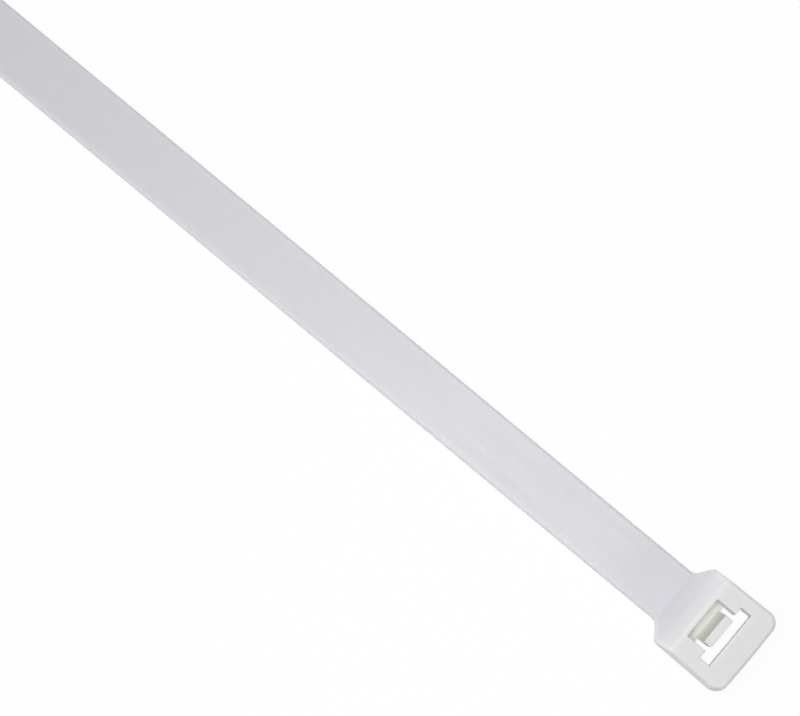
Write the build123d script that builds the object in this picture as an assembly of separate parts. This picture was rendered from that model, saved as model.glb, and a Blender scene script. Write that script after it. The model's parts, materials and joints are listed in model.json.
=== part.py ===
from build123d import *

import os
from math import cos, radians, sin, tan

# A cable tie, moulded in one piece from natural nylon: a strap with ratchet teeth along its inner
# face, and a self-locking head whose throat takes the strap's own tail.
# The origin is the centre of the throat on the entry face of the head. +X runs along the strap to
# its tail, +Z from the entry face to the exit face. The strap lies flat, teeth down, on Z = 0.

# Strap
tie_length = 200.0
strap_width = 7.6
strap_thickness = 1.4
back_edge_radius = 0.4
inner_edge_radius = 0.12
mould_draft = 2.0

# Tail, which narrows and thins to a rounded tip
tail_length = 38.0
tail_tip_width = 3.4
tail_tip_thickness = 1.0
tail_tip_radius = 1.4
tail_shoulder_radius = 40.0

# Throat, sized by the strap that passes through it
throat_side_clearance = 0.24
throat_face_clearance = 0.2
throat_lead_in = 0.35
mouth_edge_radius = 0.1

# Head
head_height = 6.0
head_side_wall_at_neck = 1.9
head_side_wall_at_far_end = 2.1
head_far_wall = 3.4
head_far_bow = 0.12
head_corner_radius = 1.85
head_shoulder_radius = 0.8
shoulder_angle = 54.0
neck_fillet_radius = 1.2
shoulder_setback = 0.7

# Ramp from the back of the strap up to the exit face
exit_land = 0.55
ramp_crest_radius = 0.7
ramp_angle = 62.0
ramp_radius = 3.0

# Pawl, hinged at the entry side, and the pocket that it bends back into
pawl_width = 4.3
pawl_slit = 0.8
pawl_slit_length = 1.6
pawl_root_length = 1.36
pocket_corner_radius = 0.15
pawl_reach = 0.32
pawl_lean = 7.0
pawl_tip_drop = 0.75
pawl_tip_length = 1.15
pawl_tip_radius = 0.25
pawl_tooth_land = 0.3
pawl_toe = 0.45
hinge_drop = 0.3
hinge_thickness = 0.95
hinge_overlap = 0.25

# Ratchet teeth, cut into the inner face between two side rails
tooth_pitch = 1.45
tooth_depth = 0.55
tooth_land = 0.25
tooth_recess = 0.08
tooth_root_clearance = 0.07
ladder_side_clearance = 0.55
plain_neck_length = 14.0
plain_tail_length = 6.0

# Grip grooves across both faces of the tail
grip_pitch = 1.8
grip_count = 12
grip_depth = 0.14
grip_cutter_radius = 0.5
grip_tip_margin = 5.0

# Places that follow from the sizes above
throat_width = strap_width + 2 * throat_side_clearance
throat_gap = strap_thickness + throat_face_clearance
head_half_width_at_neck = throat_width / 2 + head_side_wall_at_neck
head_half_width_at_far_end = throat_width / 2 + head_side_wall_at_far_end
far_wall_x = -throat_gap / 2 - head_far_wall
head_end_x = far_wall_x - head_far_bow
tip_x = head_end_x + tie_length
tail_x = tip_x - tail_length

pocket_width = pawl_width + 2 * pawl_slit
slit_end_x = throat_gap / 2 + pawl_slit_length
pocket_x = slit_end_x + pawl_root_length
floor_z = hinge_drop + hinge_thickness
pawl_top_z = head_height - pawl_tip_drop
pawl_tip_x = throat_gap / 2 - pawl_reach
pawl_tooth_count = int((pawl_top_z - hinge_drop - pawl_toe) / tooth_pitch)
pawl_tooth_depth = tooth_depth - tooth_recess - tooth_root_clearance
ladder_width = pawl_width + 2 * ladder_side_clearance

ramp_top_x = pocket_x + exit_land
ramp_arc_rise = ramp_radius * (1 - cos(radians(ramp_angle)))
ramp_straight_rise = head_height - strap_thickness - ramp_arc_rise
ramp_arc_top_x = ramp_top_x + ramp_straight_rise / tan(radians(ramp_angle))
ramp_foot_x = ramp_arc_top_x + ramp_radius * sin(radians(ramp_angle))
neck_x = ramp_foot_x - shoulder_setback
shoulder_run = (head_half_width_at_neck - strap_width / 2) / tan(radians(shoulder_angle))
shoulder_x = neck_x - shoulder_run

teeth_start_x = ramp_foot_x + plain_neck_length
teeth_end_x = tail_x - plain_tail_length
tooth_count = int((teeth_end_x - teeth_start_x) / tooth_pitch)

margin = 1.0
tolerance = 0.001


def plan_outline():
    """The tie seen from above: head, shoulders, strap and tapered tail."""
    side = [
        (far_wall_x, head_half_width_at_far_end),
        (shoulder_x, head_half_width_at_neck),
        (neck_x, strap_width / 2),
        (tail_x, strap_width / 2),
        (tip_x, tail_tip_width / 2),
    ]
    radii = [
        head_corner_radius,
        head_shoulder_radius,
        neck_fillet_radius,
        tail_shoulder_radius,
        tail_tip_radius,
    ]
    outward = [(x, -y) for x, y in side]
    back_again = list(reversed(side))
    far_end = ThreePointArc(side[0], (head_end_x, 0), outward[0])
    outline = make_face([Polyline(*outward, *back_again), far_end])
    for (x, y), radius in zip(side, radii):
        corners = [v for v in outline.vertices() if abs(v.X - x) + abs(abs(v.Y) - y) < tolerance]
        outline = fillet(corners, radius)
    return outline


def side_outline():
    """The tie seen from the side: head, concave ramp, strap and thinning tail."""
    half_turn = radians(ramp_angle) / 2
    arc_centre_z = strap_thickness + ramp_radius
    arc_top = (ramp_arc_top_x, strap_thickness + ramp_arc_rise)
    arc_middle = (ramp_foot_x - ramp_radius * sin(half_turn), arc_centre_z - ramp_radius * cos(half_turn))
    arc_foot = (ramp_foot_x, strap_thickness)
    head_back = Polyline((head_end_x, 0), (head_end_x, head_height), (ramp_top_x, head_height), arc_top)
    ramp = ThreePointArc(arc_top, arc_middle, arc_foot)
    strap_back = Polyline(arc_foot, (tail_x, strap_thickness), (tip_x, tail_tip_thickness))
    entry_side = Polyline((tip_x, tail_tip_thickness), (tip_x, 0), (head_end_x, 0))
    outline = make_face([head_back, ramp, strap_back, entry_side])
    at_crest = (ramp_top_x, head_height)
    crest = [v for v in outline.vertices() if abs(v.X - at_crest[0]) + abs(v.Y - at_crest[1]) < tolerance]
    return fillet(crest, ramp_crest_radius)


def stands_upright(edge):
    """Whether an edge runs straight up a side wall."""
    box = edge.bounding_box().size
    return box.X < tolerance and box.Y < tolerance


def body():
    """Head and strap as one block, with its outer edges rounded."""
    seen_from_above = extrude(plan_outline(), amount=head_height, taper=mould_draft)
    reach = head_half_width_at_far_end
    seen_from_the_side = extrude(Plane.XZ * side_outline(), amount=reach, both=True)
    block = seen_from_above & seen_from_the_side
    walls = [f for f in block.faces() if abs(f.normal_at().Z) < 1.5 * sin(radians(mould_draft))]
    rims = ShapeList([e for f in walls for e in f.edges() if not stands_upright(e)])
    back_edges = ShapeList(set(rims.filter_by(lambda e: e.center().Z > strap_thickness / 2)))
    block = fillet(back_edges, back_edge_radius)
    inner_edges = block.edges().filter_by(lambda e: e.bounding_box().max.Z < tolerance)
    return fillet(inner_edges, inner_edge_radius)


def upright_box(x_range, width, z_range):
    """A box between two X and two Z values, centred on the strap's middle line."""
    size_x = x_range[1] - x_range[0]
    size_z = z_range[1] - z_range[0]
    centre = (sum(x_range) / 2, 0, sum(z_range) / 2)
    return Pos(*centre) * Box(size_x, width, size_z)


def lead_in():
    """The flared mouth of the throat on the entry face."""
    mouth = Rectangle(throat_gap + 2 * throat_lead_in, throat_width + 2 * throat_lead_in)
    neck = Pos(0, 0, throat_lead_in) * Rectangle(throat_gap, throat_width)
    return loft([mouth, neck])


def aperture():
    """The throat, the slits beside the pawl and the pocket behind it."""
    through = (-margin, head_height + margin)
    throat = upright_box((-throat_gap / 2, throat_gap / 2), throat_width, through)
    slits = upright_box((0, slit_end_x), pocket_width, through)
    pocket = upright_box((0, pocket_x), pocket_width, (floor_z, head_height + margin))
    back_corners = pocket.edges().filter_by(Axis.Z).group_by(Axis.X)[-1]
    pocket = fillet(back_corners, pocket_corner_radius)
    return throat + slits + pocket + lead_in()


def pawl():
    """The locking tongue: teeth towards the throat, hinge at the entry side."""

    def front_x(z):
        return pawl_tip_x + (pawl_top_z - z) * tan(radians(pawl_lean))

    profile = [(pawl_tip_x + pawl_tip_length, pawl_top_z)]
    for tooth in range(pawl_tooth_count):
        top = pawl_top_z - tooth * tooth_pitch
        bottom = top - tooth_pitch
        profile.append((front_x(top), top))
        profile.append((front_x(top), top - pawl_tooth_land))
        profile.append((front_x(bottom) + pawl_tooth_depth, bottom))
    profile.append((slit_end_x + hinge_overlap, hinge_drop))
    profile.append((slit_end_x + hinge_overlap, floor_z))
    face = make_face(Polyline(*profile, close=True))
    tongue = extrude(Plane.XZ * face, amount=pawl_width / 2, both=True)
    tip_corners = tongue.edges().filter_by(Axis.Z).filter_by(lambda e: e.center().X < pawl_tip_x + tolerance)
    return fillet(tip_corners, pawl_tip_radius)


def tooth_gaps():
    """The ladder of gaps between the ratchet teeth, whose steep faces look towards the head."""
    first_gap_x = teeth_start_x - tooth_pitch / 2
    profile = [(first_gap_x, -margin), (first_gap_x, tooth_depth)]
    for tooth in range(tooth_count):
        x = teeth_start_x + tooth * tooth_pitch
        profile.append((x, tooth_depth))
        profile.append((x, tooth_recess))
        profile.append((x + tooth_land, tooth_recess))
    last_gap_x = teeth_start_x + tooth_count * tooth_pitch
    profile.append((last_gap_x, tooth_depth))
    profile.append((last_gap_x, -margin))
    face = make_face(Polyline(*profile, close=True))
    return extrude(Plane.XZ * face, amount=ladder_width / 2, both=True)


def grip_grooves():
    """Shallow scallops across the back and, half a pitch on, across the inner face of the tail."""
    thinning = (strap_thickness - tail_tip_thickness) / tail_length
    cutter = Rot(90, 0, 0) * Cylinder(grip_cutter_radius, strap_width + 2 * margin)
    lift = grip_cutter_radius - grip_depth
    grooves = []
    for groove in range(grip_count):
        x = tip_x - grip_tip_margin - groove * grip_pitch
        back_z = strap_thickness - thinning * (x - tail_x)
        grooves.append(Pos(x, 0, back_z + lift) * cutter)
        grooves.append(Pos(x - grip_pitch / 2, 0, -lift) * cutter)
    return grooves


def cable_tie():
    """The whole moulding."""
    tie = body() - aperture()
    on_exit_face = tie.edges().filter_by(lambda e: e.bounding_box().min.Z > head_height - tolerance)
    mouth = on_exit_face.filter_by(lambda e: abs(e.center().Y) < throat_width / 2 + tolerance)
    mouth = mouth.filter_by(lambda e: -throat_gap < e.center().X < pocket_x + tolerance)
    tie = fillet(mouth, mouth_edge_radius)
    tie = tie + pawl()
    tie = tie - tooth_gaps()
    return tie - grip_grooves()


os.makedirs("parts", exist_ok=True)
export_step(cable_tie(), "parts/cable_tie.step")
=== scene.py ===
import json
from math import cos, radians, sin, tan

import bpy
from mathutils import Matrix, Vector


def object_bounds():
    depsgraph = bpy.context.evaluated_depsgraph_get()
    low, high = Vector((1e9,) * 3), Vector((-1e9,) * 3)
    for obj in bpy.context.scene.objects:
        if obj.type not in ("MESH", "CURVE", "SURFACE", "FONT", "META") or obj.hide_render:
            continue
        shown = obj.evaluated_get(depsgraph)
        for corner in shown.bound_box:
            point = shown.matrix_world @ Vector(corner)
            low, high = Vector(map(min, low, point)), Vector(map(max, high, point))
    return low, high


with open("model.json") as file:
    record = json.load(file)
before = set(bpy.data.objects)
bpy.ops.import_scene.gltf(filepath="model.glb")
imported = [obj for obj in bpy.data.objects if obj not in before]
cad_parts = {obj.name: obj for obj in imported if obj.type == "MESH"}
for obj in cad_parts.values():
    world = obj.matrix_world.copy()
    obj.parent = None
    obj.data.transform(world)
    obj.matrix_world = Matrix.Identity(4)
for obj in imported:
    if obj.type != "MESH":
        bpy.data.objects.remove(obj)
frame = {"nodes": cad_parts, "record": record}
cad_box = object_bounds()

# ---------------------------------------------------------------------------------------------
# The camera. It stands far off on a long lens and looks almost straight down on the tie, at the
# exit face of the head and the smooth back of the strap, which runs out of view towards its tail.

MM = 0.001
throat = Vector(next(m["pos_m"] for m in frame["record"]["mounts"] if m["name"] == "throat"))

strap_turn = radians(39.66)
lean_to_side = radians(3.3)
view_width = 99.5 * MM
lens_in_widths = 15.0
sensor_width = 36.0
far_clip = 10.0
aim_past_throat = 53.22 * MM
aim_off_middle = -0.96 * MM
half_head_height = (cad_box[1][2] - cad_box[0][2]) / 2
aim = throat + Vector((aim_past_throat, aim_off_middle, half_head_height))

camera_data = bpy.data.cameras.new("camera")
camera_data.sensor_width = sensor_width
camera_data.lens = sensor_width * lens_in_widths
camera_data.clip_end = far_clip
camera = bpy.data.objects.new("camera", camera_data)
bpy.context.scene.collection.objects.link(camera)

towards_camera = Vector((0, tan(lean_to_side), 1)).normalized()
picture_up = Vector((sin(strap_turn), -cos(strap_turn), 0))
picture_up = (picture_up - picture_up.dot(towards_camera) * towards_camera).normalized()
picture_right = picture_up.cross(towards_camera)
turn = Matrix((picture_right, picture_up, towards_camera)).transposed().to_4x4()
stand = aim + towards_camera * view_width * lens_in_widths
camera.matrix_world = Matrix.Translation(stand) @ turn
bpy.context.scene.camera = camera
bpy.context.scene.view_settings.view_transform = "Standard"

# ---------------------------------------------------------------------------------------------
# The studio: a plain pale table under an even white surround, one small soft lamp over the head
# and a second, further off, beyond the tail. To the eye the table is a white sweep that still
# holds the tie's faint shadow. Light is followed far enough to cross the narrow pocket many times.

light_bounces = 24
floor_half_side = 1.5
floor_gap = 0.02 * MM
floor_colour = (0.95, 0.95, 0.95, 1)
floor_glow = 0.93
surround_strength = 0.45
lamps_aim_past_throat = 24 * MM
overhead_direction = Vector((0, 0.08, 1))
overhead_distance = 0.2
overhead_side = 0.06
overhead_watts = 0.164
tail_direction = Vector((1, 0.3, 0.5))
tail_distance = 1.0
tail_side = 0.4
tail_watts = 3.3


class Value:
    """One number that varies over a surface. Sums and products of Values add their Math nodes."""

    def __init__(self, shade, socket):
        self.shade = shade
        self.socket = socket

    def maths(self, operation, first, second):
        node = self.shade.node("ShaderNodeMath", {"operation": operation}, {0: first, 1: second})
        return Value(self.shade, node.outputs[0])

    def __add__(self, other):
        return self.maths("ADD", self, other)

    def __sub__(self, other):
        return self.maths("SUBTRACT", self, other)

    def __rsub__(self, other):
        return self.maths("SUBTRACT", other, self)

    def __mul__(self, other):
        return self.maths("MULTIPLY", self, other)

    def __abs__(self):
        return self.maths("ABSOLUTE", self, 0.0)

    def ramp(self, start, end):
        """0 up to start, 1 past end, and a smooth step between them."""
        node = self.shade.node(
            "ShaderNodeMapRange",
            {"interpolation_type": "SMOOTHSTEP"},
            {"Value": self, "From Min": start, "From Max": end},
        )
        return Value(self.shade, node.outputs["Result"])

    __radd__ = __add__
    __rmul__ = __mul__


def socket(sockets, name):
    """The socket of this name, or number. Where several share a name, it is the one in use."""
    if isinstance(name, int):
        return sockets[name]
    return next(one for one in sockets if one.name == name and one.enabled)


class Shade:
    """A material and the nodes that make it up."""

    def __init__(self, name):
        self.material = bpy.data.materials.new(name)
        self.material.use_nodes = True
        self.tree = self.material.node_tree
        self.tree.nodes.clear()

    def node(self, kind, settings=None, values=None):
        """Adds a node: its settings first, then the values or links of its inputs."""
        node = self.tree.nodes.new(kind)
        for name, setting in (settings or {}).items():
            setattr(node, name, setting)
        for name, value in (values or {}).items():
            entry = socket(node.inputs, name)
            if isinstance(value, Value):
                value = value.socket
            if isinstance(value, bpy.types.NodeSocket):
                self.tree.links.new(value, entry)
            else:
                entry.default_value = value
        return node

    def finish(self, shader):
        self.node("ShaderNodeOutputMaterial", {}, {"Surface": shader.outputs[0]})
        return self.material


quarters = ((-1, -1), (1, -1), (1, 1), (-1, 1))
floor_z = cad_box[0][2] - floor_gap
corners = [(x * floor_half_side, y * floor_half_side, floor_z) for x, y in quarters]
floor_mesh = bpy.data.meshes.new("floor")
floor_mesh.from_pydata(corners, [], [range(4)])
floor = bpy.data.objects.new("floor", floor_mesh)
bpy.context.scene.collection.objects.link(floor)

table = Shade("table")
surface = table.node("ShaderNodeBsdfDiffuse", {}, {"Color": floor_colour})
white = table.node("ShaderNodeEmission", {}, {"Strength": 1.0})
rays = table.node("ShaderNodeLightPath")
looked_at = Value(table, rays.outputs["Is Camera Ray"])
looked_at = looked_at + Value(table, rays.outputs["Is Glossy Ray"])
looked_at = looked_at + Value(table, rays.outputs["Is Transmission Ray"])
shown = {0: looked_at * floor_glow, 1: surface.outputs[0], 2: white.outputs[0]}
floor_mesh.materials.append(table.finish(table.node("ShaderNodeMixShader", {}, shown)))

surround = bpy.data.worlds.new("surround")
surround.use_nodes = True
surround_light = surround.node_tree.nodes["Background"].inputs
surround_light["Color"].default_value = (1, 1, 1, 1)
surround_light["Strength"].default_value = surround_strength
bpy.context.scene.world = surround
bpy.context.scene.cycles.diffuse_bounces = light_bounces
bpy.context.scene.cycles.max_bounces = light_bounces


def soft_lamp(name, aim, direction, distance, side, watts):
    """A square lamp that stands off from what it is aimed at."""
    data = bpy.data.lights.new(name, "AREA")
    data.size = side
    data.energy = watts
    lamp = bpy.data.objects.new(name, data)
    lamp.location = aim + direction.normalized() * distance
    lamp.rotation_euler = direction.to_track_quat("Z", "Y").to_euler()
    bpy.context.scene.collection.objects.link(lamp)


lit_place = throat + Vector((lamps_aim_past_throat, 0, 0))
soft_lamp("lamp_over_head", lit_place, overhead_direction, overhead_distance, overhead_side, overhead_watts)
soft_lamp("lamp_beyond_tail", lit_place, tail_direction, tail_distance, tail_side, tail_watts)

# ---------------------------------------------------------------------------------------------
# The tie: head, pawl, strap and tail in one shot of undyed nylon 6/6. The neck has painted shade: it is a
# shade greyer than the toothed strap towards the foot of the head. The thick head is whiter. The walls of
# the throat and pocket have painted light: a much paler, faintly yellow colour, which stands for the light
# that comes through the head.

strap_top = cad_box[0][2] + 1.4 * MM
head_top = cad_box[1][2]
whiter_from = 0.7 * head_top
neck_end = 22.4 * MM
neck_fade = 12 * MM
throat_far_wall = -0.8 * MM
throat_half_width = 4.04 * MM
pocket_end = 3.9 * MM
hinge_depth = 0.3 * MM
pocket_fade = (0.3 * head_top, 0.98 * head_top)
wall_skin = 0.1 * MM
strap_colour = (0.683, 0.675, 0.712, 1)
# Painted shade: the neck's greyer colour stands for the shade that the head casts near its foot.
neck_painted_shade_colour = (0.64, 0.632, 0.668, 1)
head_colour = (0.705, 0.705, 0.718, 1)
# Painted light: the pocket's pale, faintly yellow colour stands for light that comes through the head.
pocket_painted_light_colour = (0.935, 0.948, 0.895, 1)
cloud_size = 9 * MM
flow_line_width = 0.8 * MM
flow_line_length = 20 * MM
grain_size = 0.18 * MM
sink_size = 5 * MM
relief_height = 0.03 * MM
scatter_depth = 1.1 * MM
scatter_by_colour = (1.0, 0.95, 0.8)
translucency = 0.9
nylon_ior = 1.53


def noise(shade, position, sizes, detail):
    """A noise field whose lumps have these sizes along X, Y and Z."""
    waves = tuple(1 / size for size in sizes)
    stretched = shade.node("ShaderNodeVectorMath", {"operation": "MULTIPLY"}, {0: position, 1: waves})
    values = {"Vector": stretched.outputs[0], "Scale": 1.0, "Detail": detail}
    return Value(shade, shade.node("ShaderNodeTexNoise", {}, values).outputs["Fac"])


def mix_colour(shade, amount, first, second):
    """One colour at 0, the other at 1."""
    mix = shade.node("ShaderNodeMix", {"data_type": "RGBA"}, {"Factor": amount, "A": first, "B": second})
    return socket(mix.outputs, "Result")


def natural_nylon():
    """Undyed nylon as moulded: clouded, faintly streaked along the flow, with a fine satin grain, plus
    painted shade near the head and painted light in the pocket.
    """
    shade = Shade("natural_nylon")
    position = shade.node("ShaderNodeTexCoord").outputs["Object"]
    axes = shade.node("ShaderNodeSeparateXYZ", {}, {"Vector": position})
    x = Value(shade, axes.outputs["X"])
    y = Value(shade, axes.outputs["Y"])
    z = Value(shade, axes.outputs["Z"])

    clouds = noise(shade, position, (2 * cloud_size, cloud_size, cloud_size), 3.0)
    flow_lines = noise(shade, position, (flow_line_length, flow_line_width, flow_line_width), 4.0)
    grain = noise(shade, position, (grain_size, grain_size, grain_size), 2.0)
    sinks = noise(shade, position, (sink_size, sink_size, sink_size), 1.0)

    # Painted shade: the strap turns greyer towards the foot of the head, where the head shades it.
    painted_shade_in_neck = 1 - x.ramp(neck_end - neck_fade, neck_end)
    in_head = z.ramp(strap_top, whiter_from)
    uneven = (clouds - 0.5) * 0.5 + (flow_lines - 0.5) * 0.3
    colour = mix_colour(shade, painted_shade_in_neck + uneven, strap_colour, neck_painted_shade_colour)
    colour = mix_colour(shade, in_head + uneven, colour, head_colour)

    # Painted light: the throat and pocket walls get a much paler, faintly yellow colour for the light that
    # comes through the head.
    across = 1 - abs(y).ramp(throat_half_width, throat_half_width + wall_skin)
    after_far_wall = x.ramp(throat_far_wall - wall_skin, throat_far_wall)
    before_pocket_end = 1 - x.ramp(pocket_end, pocket_end + wall_skin)
    above_entry_face = z.ramp(0.0, hinge_depth)
    below_exit_face = 1 - z.ramp(*pocket_fade)
    painted_light_in_pocket = across * after_far_wall * before_pocket_end * above_entry_face * below_exit_face
    colour = mix_colour(shade, painted_light_in_pocket, colour, pocket_painted_light_colour)

    relief = grain * 0.3 + flow_lines * 0.3 + sinks * 1.5
    bump = shade.node("ShaderNodeBump", {}, {"Distance": relief_height, "Height": relief})
    skin = shade.node(
        "ShaderNodeBsdfPrincipled",
        {"subsurface_method": "RANDOM_WALK"},
        {
            "Base Color": colour,
            "Roughness": flow_lines * 0.14 + clouds * 0.12 + 0.3,
            "Normal": bump.outputs["Normal"],
            "IOR": nylon_ior,
            "Subsurface Weight": translucency,
            "Subsurface Radius": scatter_by_colour,
            "Subsurface Scale": scatter_depth,
        },
    )
    return shade.finish(skin)


tie = frame["nodes"]["cable_tie"]
tie.data.materials.clear()
tie.data.materials.append(natural_nylon())
